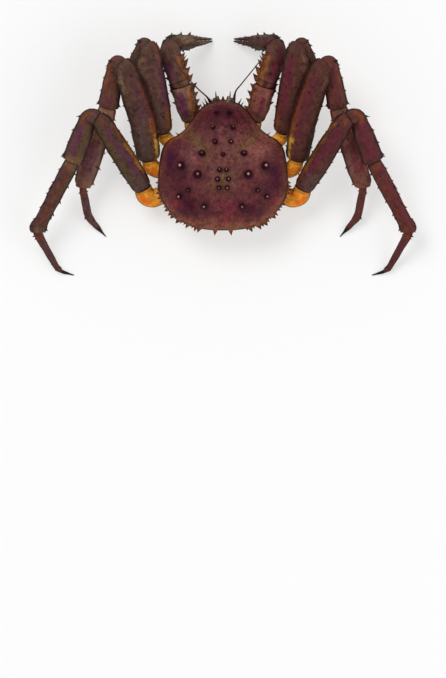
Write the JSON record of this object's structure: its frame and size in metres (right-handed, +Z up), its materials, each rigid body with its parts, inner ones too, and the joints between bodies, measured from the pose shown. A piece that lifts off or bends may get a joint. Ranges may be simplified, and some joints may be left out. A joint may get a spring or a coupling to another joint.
{
  "type": "red king crab",
  "caption": "Life-size still model of a red king crab: a domed, spiny shell on long folded, jointed legs, with claws, stalked eyes and feelers, standing on its toe and claw tips.",
  "frame": {"origin": "on the floor, under the middle of the part's bounding box", "axes": "+Z up; the head faces -Y; +X is the crab's left side, so the legs spread along X"},
  "size_m": [0.5634, 0.3538, 0.1244],
  "materials": {
    "shell": "dark purple-red shell, semi-gloss, finely pitted",
    "limb_shell": "dark brown to purple shell with orange-red inner edges, semi-gloss, pimpled",
    "limb_base": "ochre to orange shell, semi-gloss",
    "belly": "pale orange-cream shell, semi-gloss",
    "claw": "brown shell with dark horny finger ends",
    "toe": "dark red-brown shell ending in a dark horny point",
    "eye": "black, glossy, on a red-brown stalk",
    "feeler": "thin red-brown feelers",
    "mouthpart": "orange-brown shell with short bristles"
  },
  "bodies": {
    "root": {"carapace": "shell", "thorax": "belly", "abdomen": "belly", "eye_left": "eye", "antennule_left": "feeler", "antenna_left": "feeler", "maxilliped_left": "mouthpart", "claw_coxa_left": "limb_base", "claw_merus_left": "limb_shell", "claw_carpus_left": "limb_shell", "claw_palm_left": "claw", "claw_finger_left": "claw", "leg1_coxa_left": "limb_base", "leg1_merus_left": "limb_shell", "leg1_carpus_left": "limb_shell", "leg1_propodus_left": "limb_shell", "leg1_dactyl_left": "toe", "leg2_coxa_left": "limb_base", "leg2_merus_left": "limb_shell", "leg2_carpus_left": "limb_shell", "leg2_propodus_left": "limb_shell", "leg2_dactyl_left": "toe", "leg3_coxa_left": "limb_base", "leg3_merus_left": "limb_shell", "leg3_carpus_left": "limb_shell", "leg3_propodus_left": "limb_shell", "leg3_dactyl_left": "toe", "eye_right": "eye", "antennule_right": "feeler", "antenna_right": "feeler", "maxilliped_right": "mouthpart", "claw_coxa_right": "limb_base", "claw_merus_right": "limb_shell", "claw_carpus_right": "limb_shell", "claw_palm_right": "claw", "claw_finger_right": "claw", "leg1_coxa_right": "limb_base", "leg1_merus_right": "limb_shell", "leg1_carpus_right": "limb_shell", "leg1_propodus_right": "limb_shell", "leg1_dactyl_right": "toe", "leg2_coxa_right": "limb_base", "leg2_merus_right": "limb_shell", "leg2_carpus_right": "limb_shell", "leg2_propodus_right": "limb_shell", "leg2_dactyl_right": "toe", "leg3_coxa_right": "limb_base", "leg3_merus_right": "limb_shell", "leg3_carpus_right": "limb_shell", "leg3_propodus_right": "limb_shell", "leg3_dactyl_right": "toe"}
  },
  "joints": []
}
